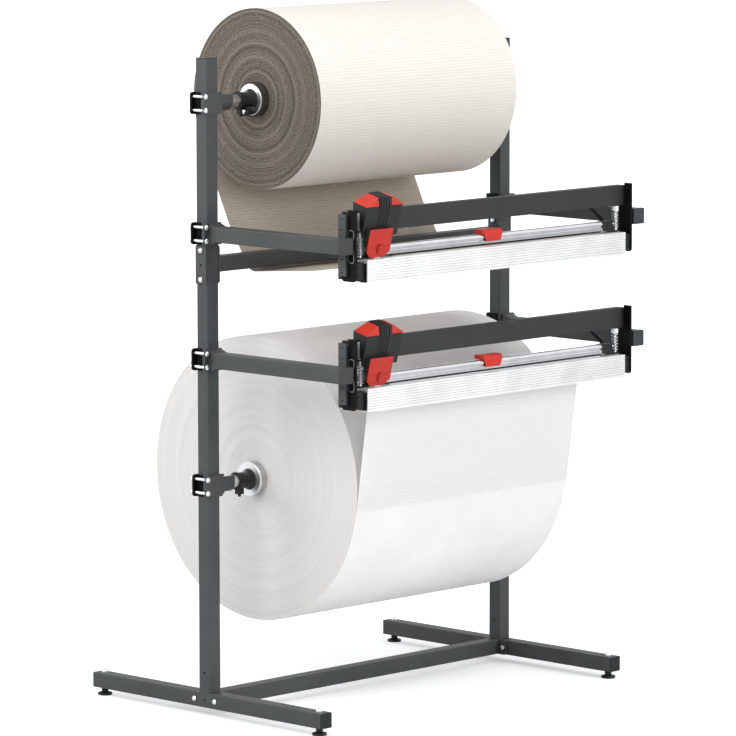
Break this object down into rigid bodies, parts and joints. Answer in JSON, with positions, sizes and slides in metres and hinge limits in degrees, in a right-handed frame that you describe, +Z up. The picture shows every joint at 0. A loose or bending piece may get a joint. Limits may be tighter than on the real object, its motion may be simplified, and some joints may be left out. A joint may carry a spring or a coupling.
{
  "type": "packaging paper cutting stand",
  "caption": "Floor stand of square tube that holds rolls of corrugated card and film and cuts each off at a sprung press rail with a sliding cutter head",
  "frame": {"origin": "on the floor, in the middle of the stand's bounding box", "axes": "+X along the rolls to the right seen from the front, +Y to the back, +Z up; the cutter units face -Y"},
  "size_m": [1.17, 0.942, 1.823],
  "materials": {
    "frame_paint": "satin anthracite powder coat",
    "black_parts": "matte black",
    "black_steel": "matte black powder coat",
    "zinc": "bright zinc plating",
    "bright_steel": "drawn bright steel",
    "rail_chrome": "polished",
    "table_aluminium": "ribbed extrusion, light anodised",
    "red_plastic": "moulded, semi-gloss",
    "red_paint": "powder coat",
    "rubber_lip": "matte",
    "corrugated_card": "fluted brown card",
    "core_card": "wound board",
    "foam_film": "white, matte, wound layers"
  },
  "bodies": {
    "stand": {"foot_beams": "frame_paint", "lower_posts": "frame_paint", "upper_posts": "frame_paint", "tube_caps": "black_parts", "base_crossbar": "frame_paint", "middle_crossbar": "frame_paint", "splice_plates": "frame_paint", "foot_lock_nuts": "zinc", "fastening_bolts": "zinc", "clamp_yokes": "black_steel", "arms": "frame_paint", "arm_caps": "black_parts", "axle_cradles": "frame_paint", "mounting_bars": "frame_paint", "end_profiles": "black_steel", "upper_guide_beam": "frame_paint", "lower_guide_beam": "frame_paint", "upper_cutting_table": "table_aluminium", "lower_cutting_table": "table_aluminium", "table_end_blocks": "black_parts", "guide_rods": "zinc", "end_braces": "black_steel", "card_web": "corrugated_card", "film_web": "foam_film"},
    "foot_front_left": {"levelling_foot_front_left": "black_parts"},
    "foot_front_right": {"levelling_foot_front_right": "black_parts"},
    "foot_back_left": {"levelling_foot_back_left": "black_parts"},
    "foot_back_right": {"levelling_foot_back_right": "black_parts"},
    "upper_roll": {"upper_axle": "bright_steel", "upper_hubs": "black_parts", "upper_core_flanges": "zinc", "upper_core": "core_card", "card_roll": "corrugated_card"},
    "upper_rail": {"upper_press_rail": "rail_chrome", "upper_rail_lip": "rubber_lip", "upper_rail_end_blocks": "black_parts", "upper_rail_grip": "red_plastic", "upper_rail_springs": "zinc"},
    "upper_head": {"upper_head_housing": "black_parts", "upper_head_roof": "red_plastic", "upper_head_slider": "bright_steel", "upper_blade_plate": "red_paint", "upper_blade": "bright_steel"},
    "upper_lock": {"upper_lock_knob": "red_plastic"},
    "lower_roll": {"lower_axle": "bright_steel", "lower_hubs": "black_parts", "lower_core_flanges": "zinc", "lower_core": "core_card", "film_roll": "foam_film"},
    "lower_rail": {"lower_press_rail": "rail_chrome", "lower_rail_lip": "rubber_lip", "lower_rail_end_blocks": "black_parts", "lower_rail_grip": "red_plastic", "lower_rail_springs": "zinc"},
    "lower_head": {"lower_head_housing": "black_parts", "lower_head_roof": "red_plastic", "lower_head_slider": "bright_steel", "lower_blade_plate": "red_paint", "lower_blade": "bright_steel"},
    "lower_lock": {"lower_lock_knob": "red_plastic"}
  },
  "joints": [
    {"name": "upper_roll_spin", "type": "hinge", "parent": "stand", "child": "upper_roll", "pos_m": [0, 0.046, 1.588], "axis": [1, 0, 0], "continuous": true},
    {"name": "upper_head_slide", "type": "slide", "parent": "stand", "child": "upper_head", "axis": [1, 0, 0], "range_m": [0, 0.842]},
    {"name": "upper_rail_lift", "type": "slide", "parent": "stand", "child": "upper_rail", "axis": [0, 0, 1], "range_m": [0, 0.012], "stiffness_N_per_m": 1500, "springref_m": -0.012, "deforming": ["upper_rail_springs"]},
    {"name": "upper_lock_turn", "type": "hinge", "parent": "upper_head", "child": "upper_lock", "pos_m": [-0.4323, -0.4565, 1.23872], "axis": [0, -0.9677, -0.2521], "range_deg": [0, 90]},
    {"name": "lower_roll_spin", "type": "hinge", "parent": "stand", "child": "lower_roll", "pos_m": [0, 0.046, 0.601], "axis": [1, 0, 0], "continuous": true},
    {"name": "lower_head_slide", "type": "slide", "parent": "stand", "child": "lower_head", "axis": [1, 0, 0], "range_m": [0, 0.842]},
    {"name": "lower_rail_lift", "type": "slide", "parent": "stand", "child": "lower_rail", "axis": [0, 0, 1], "range_m": [0, 0.012], "stiffness_N_per_m": 1500, "springref_m": -0.012, "deforming": ["lower_rail_springs"]},
    {"name": "lower_lock_turn", "type": "hinge", "parent": "lower_head", "child": "lower_lock", "pos_m": [-0.4323, -0.4565, 0.91352], "axis": [0, -0.9677, -0.2521], "range_deg": [0, 90]},
    {"name": "foot_front_left_turn", "type": "hinge", "parent": "stand", "child": "foot_front_left", "pos_m": [-0.55, -0.354, 0], "axis": [0, 0, 1], "continuous": true},
    {"name": "foot_front_right_turn", "type": "hinge", "parent": "stand", "child": "foot_front_right", "pos_m": [0.55, -0.354, 0], "axis": [0, 0, 1], "continuous": true},
    {"name": "foot_back_left_turn", "type": "hinge", "parent": "stand", "child": "foot_back_left", "pos_m": [-0.55, 0.446, 0], "axis": [0, 0, 1], "continuous": true},
    {"name": "foot_back_right_turn", "type": "hinge", "parent": "stand", "child": "foot_back_right", "pos_m": [0.55, 0.446, 0], "axis": [0, 0, 1], "continuous": true}
  ]
}
